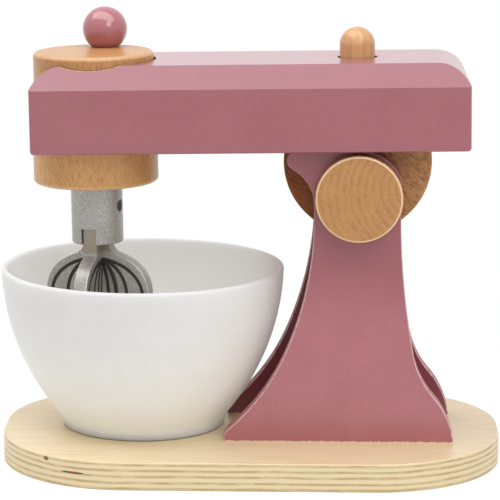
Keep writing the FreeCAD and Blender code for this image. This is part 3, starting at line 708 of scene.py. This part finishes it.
def silver_paint(name, worn=NOWHERE, thin=NOWHERE):
    """Grainy silver paint over wood, brighter where it is rubbed and duller where thin."""
    silver = settings().silver
    surface = Surface(name)
    grains = surface.noise(surface.place, 1.5, 3.0, 0.75)
    clouds = surface.noise(surface.place, 0.16)
    share = surface.weighted(surface.rise(grains, 0.4, 0.62), 0.75, clouds, 0.35)
    colour = surface.mix(share, silver.colour, silver.grain)
    colour = surface.mix(thin(surface), colour, silver.thin)
    colour = surface.mix(worn(surface), colour, silver.rubbed)
    surface.bump(grains, 0.8, 0.16)
    rough = surface.graded(grains, 0.2, silver.roughness - 0.1)
    return surface.finish(colour, rough, Metallic=silver.metal)


def whisk_line_paint(name):
    """Nearly black paint in the cut lines."""
    silver = settings().silver
    surface = Surface(name)
    dust_and_sheen = surface.noise(surface.place, 1.5, 3.0, 0.6)
    colour = surface.mix(surface.rise(dust_and_sheen, 0.45, 0.75), silver.line, silver.line_dust)
    surface.bump(dust_and_sheen, 0.2, 0.1)
    return surface.finish(colour, 0.6)


def bowl_white(name):
    """Matt white with a faint mottle. Painted light makes the inside whiter, the foot takes the
    same white, and painted shade darkens the small channel above the foot and the line where the
    foot meets the board.
    """
    bowl = settings().bowl
    surface = Surface(name)
    height = surface.height()
    clouds = surface.noise(surface.place, 0.045)
    specks = surface.noise(surface.place, 1.1, 3.0, 0.6)
    share = surface.weighted(surface.rise(clouds, 0.35, 0.7), 0.35, specks, 0.5)
    colour = surface.mix(share, bowl.colour, bowl.mottle)
    facing = surface.facing()
    outward = surface.vector("NORMALIZE", surface.off_axis(BOWL_AXIS))
    inward = surface.minus(surface.along(facing, UP), surface.along(facing, outward))
    # Painted light: the inside is painted whiter.
    colour = surface.mix(surface.rise(inward, 0.1, 0.7), colour, bowl.inside)
    # The foot below FOOT_TOP is painted the same whiter colour.
    foot = surface.rise(height, FOOT_TOP + 0.2, FOOT_TOP - 0.2)
    colour = surface.mix(foot, colour, bowl.inside)
    # Painted shade in the small channel above the foot.
    groove_shade = surface.rise(surface.math("ABSOLUTE", surface.minus(height, FOOT_TOP)), 0.5, 0.1)
    colour = surface.mix(surface.times(groove_shade, 0.2), colour, bowl.painted_foot_shade)
    # Painted shadow along the line where the foot meets the board.
    line = surface.rise(height, BOARD_TOP + 0.8, BOARD_TOP + 0.2)
    colour = surface.mix(surface.times(line, 0.8), colour, bowl.painted_foot_shade)
    surface.bump(specks, 0.08, 0.08)
    rough = surface.graded(specks, 0.1, bowl.roughness)
    return surface.finish(colour, rough, Subsurface_Weight=1.0, Subsurface_Scale=0.02,
                          Subsurface_Radius=(1.0, 0.95, 0.85))


def plated_steel(name):
    """Zinc plating with dull streaks."""
    steel = settings().steel
    surface = Surface(name)
    streaks = surface.noise(surface.scaled(surface.place, (1.0, 1.0, 3.0)), 1.2, 3.0, 0.6)
    colour = surface.mix(surface.rise(streaks, 0.4, 0.7), steel.colour, steel.scratch)
    surface.bump(streaks, 0.1, 0.05)
    return surface.finish(colour, surface.graded(streaks, 0.25, 0.25), Metallic=1.0)


# --- meshes: the whisk's carved plates and the spring --------------------------

def new_object(name, data):
    """An object in the scene that shows this data."""
    item = bpy.data.objects.new(name, data)
    bpy.context.scene.collection.objects.link(item)
    return item


def mesh_object(name, mesh):
    """An object in the scene made of a bmesh, which is used up."""
    data = bpy.data.meshes.new(name)
    mesh.to_mesh(data)
    mesh.free()
    return new_object(name, data)


def solid_copy(node, name, *materials):
    """A welded copy of a CAD node, ready to be carved or squashed."""
    data = frame["nodes"][node].data.copy()
    data.name = name
    data.materials.clear()
    for material in materials:
        data.materials.append(material)
    mesh = bmesh.new()
    mesh.from_mesh(data)
    bmesh.ops.remove_doubles(mesh, verts=mesh.verts, dist=WELD * MM)
    bmesh.ops.recalc_face_normals(mesh, faces=mesh.faces)
    mesh.to_mesh(data)
    mesh.free()
    return new_object(name, data)


def leaned(direction):
    """A direction given with the arm level, turned to where it is at rest."""
    return Matrix.Rotation(-HEAD_LEAN, 3, "Y") @ Vector(direction)


def plate_normal(turned):
    """The direction that a plate's face points in, at rest."""
    local = Vector(RIGHT if turned else BACK)
    return leaned(Matrix.Rotation(WHISK_TURN, 3, "Z") @ local)


def plate_to_toy(turned):
    """From a plate's own flat drawing, in millimetres, to the toy's frame, in metres."""
    spindle = Matrix.Translation((SPINDLE_X, 0.0, 0.0)) @ Matrix.Rotation(WHISK_TURN, 4, "Z")
    shift = Vector((WHISK_SHIFT, 0.0, 0.0))
    if turned:
        spindle = spindle @ Matrix.Rotation(math.radians(90), 4, "Z")
        shift = Vector((0.0, -WHISK_SHIFT, 0.0))
    about_hinge = Matrix.Translation(HINGE) @ Matrix.Rotation(-HEAD_LEAN, 4, "Y")
    lean = about_hinge @ Matrix.Translation(-HINGE)
    return Matrix.Scale(MM, 4) @ lean @ spindle @ Matrix.Translation(shift)


def line_ring(reach, high, low, equator, steps):
    """Points round one closed line: two half ellipses that share their width."""
    points = []
    for step in range(steps):
        angle = 2 * math.pi * step / steps
        rise = high - equator
        if math.sin(angle) < 0:
            rise = equator - low
        points.append(Vector((reach * math.cos(angle), 0.0, equator + rise * math.sin(angle))))
    return points


def line_cutter(reach, outward, to_toy, material):
    """A ring-shaped tool that cuts one line into a plate.

    outward is 1 for the face at the back of the plate's drawing and -1 for its front.
    """
    whisk = settings().whisk
    half = whisk.line_width / MM / 2
    high, low, equator = whisk.pole / MM, whisk.foot / MM, whisk.equator / MM
    outer = line_ring(reach + half, high + half, low - half, equator, whisk.steps)
    inner = line_ring(reach - half, high - half, low + half, equator, whisk.steps)
    sunk = outward * (PLATE_HALF - whisk.line_depth / MM)
    proud = outward * (PLATE_HALF + CUTTER_PROUD)
    mesh = bmesh.new()
    rings = []
    for points, y in ((outer, sunk), (outer, proud), (inner, proud), (inner, sunk)):
        rings.append([mesh.verts.new(to_toy @ Vector((point.x, y, point.z)))
                      for point in points])
    for one, two in zip(rings, rings[1:] + rings[:1]):
        for index in range(len(one)):
            after = (index + 1) % len(one)
            mesh.faces.new((one[index], one[after], two[after], two[index]))
    bmesh.ops.recalc_face_normals(mesh, faces=mesh.faces)
    cutter = mesh_object("cutter", mesh)
    cutter.data.materials.append(material)
    return cutter


def apply_modifiers(piece):
    """Turn a piece's modifiers into plain mesh."""
    graph = bpy.context.evaluated_depsgraph_get()
    carved = bpy.data.meshes.new_from_object(piece.evaluated_get(graph))
    piece.modifiers.clear()
    piece.data = carved


def carved_plate(node, name, turned):
    """A whisk plate with its wire lines cut into both faces."""
    silver = silver_paint(name + "_silver", plate_wear(plate_normal(turned)), neck_coat)
    dark = whisk_line_paint(name + "_lines")
    piece = solid_copy(node, name, silver, dark)
    to_toy = plate_to_toy(turned)
    cutters = []
    for outward in (-1, 1):
        for reach in LINE_REACHES:
            cutter = line_cutter(reach, outward, to_toy, dark)
            cut = piece.modifiers.new("line", "BOOLEAN")
            cut.operation = "DIFFERENCE"
            cut.solver = "EXACT"
            cut.material_mode = "TRANSFER"
            cut.object = cutter
            cutters.append(cutter)
    apply_modifiers(piece)
    for cutter in cutters:
        bpy.data.objects.remove(cutter)
    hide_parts(node)
    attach(piece, "whisk")


# --- the steps, one for each group of pieces -----------------------------------

class TOYMIXER_OT_base(Operator):
    """Give the base board its plywood and the screws their plating"""

    bl_idname = "toymixer.base"
    bl_label = "Base Board"

    def execute(self, context):
        coat(plywood("plywood"), "base_board")
        coat(plated_steel("zinc"), "panel_screws", "socket_screw")
        return {"FINISHED"}


class TOYMIXER_OT_panels(Operator):
    """Paint the two column panels, with sanded edges and a chipped foot"""

    bl_idname = "toymixer.panels"
    bl_label = "Column Panels"

    def execute(self, context):
        # The panels' depth mask is painted shade towards the head and on the inner faces.
        paint = painted_wood("panel_paint", RIGHT, worn=panel_wear, chipped=panel_chips,
                             depth=panel_painted_shade, dull=cut_edge, coat_weight=0.1)
        coat(paint, "front_panel", "rear_panel")
        return {"FINISHED"}


class TOYMIXER_OT_arm(Operator):
    """Paint the arm"""

    bl_idname = "toymixer.arm"
    bl_label = "Arm"

    def execute(self, context):
        # Painted sheen on the arm's upper faces; its even darker coat is the paint's own tone.
        paint = painted_wood("arm_paint", RIGHT, chipped=pocket_rim, depth=evenly(0.45),
                             painted_sheen=painted_sheen_on_tops)
        coat(paint, "arm_beam")
        return {"FINISHED"}


class TOYMIXER_OT_knuckle(Operator):
    """Finish the knuckle under the arm, its dowels and its axle"""

    bl_idname = "toymixer.knuckle"
    bl_label = "Knuckle"

    def execute(self, context):
        wood = settings().beech
        # Painted shade: the brown tint grows towards the knuckle's left, in the shade behind the
        # front panel.
        knuckle = beech("knuckle_beech", grain=(0.72, 0.0, -0.69), pith=(60.5, 46.0, 120.0),
                        phase=0.2, tint=wood.knuckle, stained=painted_shade_to_left, rays=0.95,
                        density=0.07, fine=2.2, fleck=wood.rays, lacquer=0.05)
        coat(knuckle, "knuckle_block")
        coat(beech("axle_beech", grain=BACK, pith=(70.0, 0.0, 170.0)), "hinge_axle")
        coat(beech("dowel_beech", grain=UP, pith=(80.0, 20.0, 0.0)), "knuckle_dowels")
        return {"FINISHED"}


class TOYMIXER_OT_caps(Operator):
    """Finish the two hinge caps, whose faces show end grain"""

    bl_idname = "toymixer.caps"
    bl_label = "Hinge Caps"

    def execute(self, context):
        # The caps' rims are painted pale: a painted highlight with paler sanded wood.
        end_grain = {"tint": settings().beech.caps, "rings": 0.8, "rays": 0.8,
                     "sanded": turned_arris_highlight(BACK, 0.85)}
        front = beech("front_cap_beech", grain=(0.04, 1, 0.03), pith=(96.5, 0.0, 164.1),
                      **end_grain)
        rear = beech("rear_cap_beech", grain=(0.02, 1, 0.05), pith=(22.0, 0.0, 140.0),
                     **end_grain)
        coat(front, "front_hinge_cap")
        coat(rear, "rear_hinge_cap")
        return {"FINISHED"}


class TOYMIXER_OT_crank(Operator):
    """Finish the crank disc, the chuck disc and their spindle"""

    bl_idname = "toymixer.crank"
    bl_label = "Crank And Chuck"

    def execute(self, context):
        wood = settings().beech
        # The discs' rims take a light share of painted highlight with paler sanded wood.
        upright = {"rings": 0.2, "rays": 0.75, "fine": 2.2, "density": 0.04,
                   "sanded": turned_arris_highlight(UP, 0.25)}
        crank = beech("crank_beech", grain=(0.05, 0, 1), pith=(-40.0, 30.0, 225.0),
                      phase=0.4, tint=wood.crank, **upright)
        chuck = beech("chuck_beech", grain=(0, 0.04, 1), pith=(-120.0, 52.0, 172.0),
                      phase=0.1, tint=wood.chuck, **upright)
        coat(crank, "crank_disc")
        coat(chuck, "chuck_disc")
        coat(beech("spindle_beech", grain=UP, pith=(-80.0, 12.0, 0.0)), "crank_spindle")
        coat(beech("knob_dowel_beech", grain=UP, pith=(-70.0, 30.0, 0.0)), "knob_dowel")
        return {"FINISHED"}


class TOYMIXER_OT_knob(Operator):
    """Paint the knob on the crank"""

    bl_idname = "toymixer.knob"
    bl_label = "Knob"

    def execute(self, context):
        coat(painted_wood("knob_paint", UP, gloss=0.17, coat_weight=0.25), "crank_knob")
        return {"FINISHED"}


class TOYMIXER_OT_button(Operator):
    """Finish the press button"""

    bl_idname = "toymixer.button"
    bl_label = "Button"

    def execute(self, context):
        peg = beech("peg_beech", grain=(0.03, 0, 1), pith=(40.0, -16.0, 240.0), phase=0.3,
                    rings=0.6)
        coat(peg, "button_peg")
        return {"FINISHED"}


class TOYMIXER_OT_spring(Operator):
    """Make the spring under the button, a welded copy that rides on the head"""

    bl_idname = "toymixer.spring"
    bl_label = "Spring"

    def execute(self, context):
        spring = solid_copy("button_spring", "coiled_spring", plated_steel("spring_wire"))
        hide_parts("button_spring")
        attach(spring, "head")
        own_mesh(spring)
        return {"FINISHED"}


class TOYMIXER_OT_socket(Operator):
    """Paint the whisk socket"""

    bl_idname = "toymixer.socket"
    bl_label = "Whisk Socket"

    def execute(self, context):
        coat(silver_paint("socket_silver"), "whisk_socket")
        return {"FINISHED"}


class TOYMIXER_OT_whisk(Operator):
    """Carve and paint the two crossed plates of the whisk"""

    bl_idname = "toymixer.whisk"
    bl_label = "Whisk"

    def execute(self, context):
        carved_plate("whisk_plate_a", "carved_plate_a", turned=False)
        carved_plate("whisk_plate_b", "carved_plate_b", turned=True)
        return {"FINISHED"}


class TOYMIXER_OT_bowl(Operator):
    """Finish the bowl"""

    bl_idname = "toymixer.bowl"
    bl_label = "Bowl"

    def execute(self, context):
        coat(bowl_white("bowl_white"), "bowl")
        return {"FINISHED"}


# --- stage, in metres ----------------------------------------------------------

SENSOR_WIDTH = 36.0              # the camera's, in millimetres
LAMP_AIM = Vector((0.0, 0.0, 0.12))
TOP_LAMP_PLACE = (-0.1, -0.2, 1.2)
TOP_LAMP_SIZE = (2.2, 0.8)
KEY_LAMP_PLACE = (0.55, -1.3, 1.0)
KEY_LAMP_SIZE = (0.6, 0.6)
FLOOR_REACH = 4.0
FLOOR_SEEN = (0.6, 0.6, 0.62)    # the floor's colour where it is seen, near the toy
FLOOR_LIFT = 0.45                # what is added there, so that it looks white
FLOOR_NEAR = (0.22, 0.34)        # where it begins to be plain white and where it is


def make_camera(stage):
    """The camera at its view of the toy."""
    ahead = Vector((
        math.sin(stage.yaw) * math.cos(stage.pitch),
        math.cos(stage.yaw) * math.cos(stage.pitch),
        -math.sin(stage.pitch),
    ))
    level = Vector((math.cos(stage.yaw), -math.sin(stage.yaw), 0.0))
    above = level.cross(ahead)
    right = level * math.cos(stage.roll) + above * math.sin(stage.roll)
    turn = Matrix((right, right.cross(ahead), -ahead)).transposed()
    place = Vector(stage.target) - ahead * stage.distance
    camera = new_object("camera", bpy.data.cameras.new("camera"))
    camera.matrix_world = Matrix.Translation(place) @ turn.to_4x4()
    camera.data.sensor_width = SENSOR_WIDTH
    camera.data.lens = stage.lens
    bpy.context.scene.camera = camera


def make_lamp(name, place, size, power):
    """A soft oblong lamp that faces the toy."""
    data = bpy.data.lights.new(name, "AREA")
    data.shape = "RECTANGLE"
    data.size, data.size_y = size
    data.energy = power
    lamp = new_object(name, data)
    aim = (LAMP_AIM - Vector(place)).to_track_quat("-Z", "Y")
    lamp.matrix_world = Matrix.Translation(place) @ aim.to_matrix().to_4x4()
    lamp.visible_camera = False


def make_floor(stage):
    """A wide pale floor that looks white and keeps the toy's soft shadow.

    The toy is lit by a plain matt floor. Where the floor is seen, it is lifted towards
    white, and it is pure white away from the toy.
    """
    mesh = bmesh.new()
    bmesh.ops.create_grid(mesh, x_segments=8, y_segments=8, size=FLOOR_REACH)
    floor = mesh_object("floor", mesh)
    material = bpy.data.materials.new("floor")
    material.use_nodes = True
    kit = NodeKit(material.node_tree)
    kit.tree.nodes.clear()
    plain = kit.add("ShaderNodeBsdfDiffuse", {"Color": stage.floor}).outputs[0]
    shown = kit.add("ShaderNodeBsdfDiffuse", {"Color": FLOOR_SEEN}).outputs[0]
    lift = kit.add("ShaderNodeEmission", {"Strength": FLOOR_LIFT}).outputs[0]
    near = kit.add("ShaderNodeAddShader", {0: shown, 1: lift}).outputs[0]
    white = kit.add("ShaderNodeEmission").outputs[0]
    place = kit.add("ShaderNodeTexCoord").outputs["Object"]
    away = kit.rise(kit.length(place), *FLOOR_NEAR)
    seen = kit.add("ShaderNodeMixShader", {0: away, 1: near, 2: white}).outputs[0]
    both = kit.add("ShaderNodeMixShader", {0: kit.seen_directly(), 1: plain, 2: seen})
    kit.add("ShaderNodeOutputMaterial", {"Surface": both.outputs[0]})
    floor.data.materials.append(material)


def make_world(stage):
    """A white room: full strength where it is seen, dimmer where it lights."""
    world = bpy.data.worlds.new("room")
    world.use_nodes = True
    kit = NodeKit(world.node_tree)
    levels = {"Value": kit.seen_directly(), "To Min": stage.room, "To Max": 1.0}
    strength = kit.add("ShaderNodeMapRange", levels).outputs["Result"]
    background = kit.tree.nodes["Background"]
    kit.feed(background.inputs["Color"], (1.0, 1.0, 1.0))
    kit.feed(background.inputs["Strength"], strength)
    bpy.context.scene.world = world


class TOYMIXER_OT_stage(Operator):
    """Set up the floor, the soft lamps, the white room and the camera"""

    bl_idname = "toymixer.stage"
    bl_label = "Studio"

    def execute(self, context):
        stage = settings().stage
        make_camera(stage)
        make_floor(stage)
        make_world(stage)
        make_lamp("top_lamp", TOP_LAMP_PLACE, TOP_LAMP_SIZE, stage.top_power)
        make_lamp("key_lamp", KEY_LAMP_PLACE, KEY_LAMP_SIZE, stage.key_power)
        context.scene.view_settings.view_transform = "Standard"
        return {"FINISHED"}


# --- the add-on ----------------------------------------------------------------

STEPS = (
    TOYMIXER_OT_base,
    TOYMIXER_OT_panels,
    TOYMIXER_OT_arm,
    TOYMIXER_OT_knuckle,
    TOYMIXER_OT_caps,
    TOYMIXER_OT_crank,
    TOYMIXER_OT_knob,
    TOYMIXER_OT_button,
    TOYMIXER_OT_spring,
    TOYMIXER_OT_socket,
    TOYMIXER_OT_whisk,
    TOYMIXER_OT_bowl,
    TOYMIXER_OT_stage,
)


class TOYMIXER_PT_finish(Panel):
    """The sidebar panel that lists the steps and their settings."""

    bl_label = "Toy Mixer Finish"
    bl_idname = "TOYMIXER_PT_finish"
    bl_space_type = "VIEW_3D"
    bl_region_type = "UI"
    bl_category = "Toy Mixer"

    def draw(self, context):
        for step in STEPS:
            self.layout.operator(step.bl_idname)
        for group in MixerSettings.__annotations__:
            part = getattr(settings(), group)
            box = self.layout.box()
            box.label(text=group.title())
            for key in type(part).__annotations__:
                box.prop(part, key)


# Each group of settings comes before the one that points to it.
CLASSES = (
    PaintSettings, BeechSettings, PlySettings, SilverSettings, WhiskSettings, BowlSettings,
    SteelSettings, StageSettings, MixerSettings, *STEPS, TOYMIXER_PT_finish,
)


def register():
    """Make the settings, the steps and the panel known."""
    for part in CLASSES:
        bpy.utils.register_class(part)
    bpy.types.Scene.toy_mixer = PointerProperty(type=MixerSettings)


def unregister():
    """Take them away again."""
    del bpy.types.Scene.toy_mixer
    for part in reversed(CLASSES):
        bpy.utils.unregister_class(part)


def main():
    """Run every step."""
    register()
    for step in STEPS:
        group, name = step.bl_idname.split(".")
        getattr(getattr(bpy.ops, group), name)()


if __name__ == "__main__":
    main()
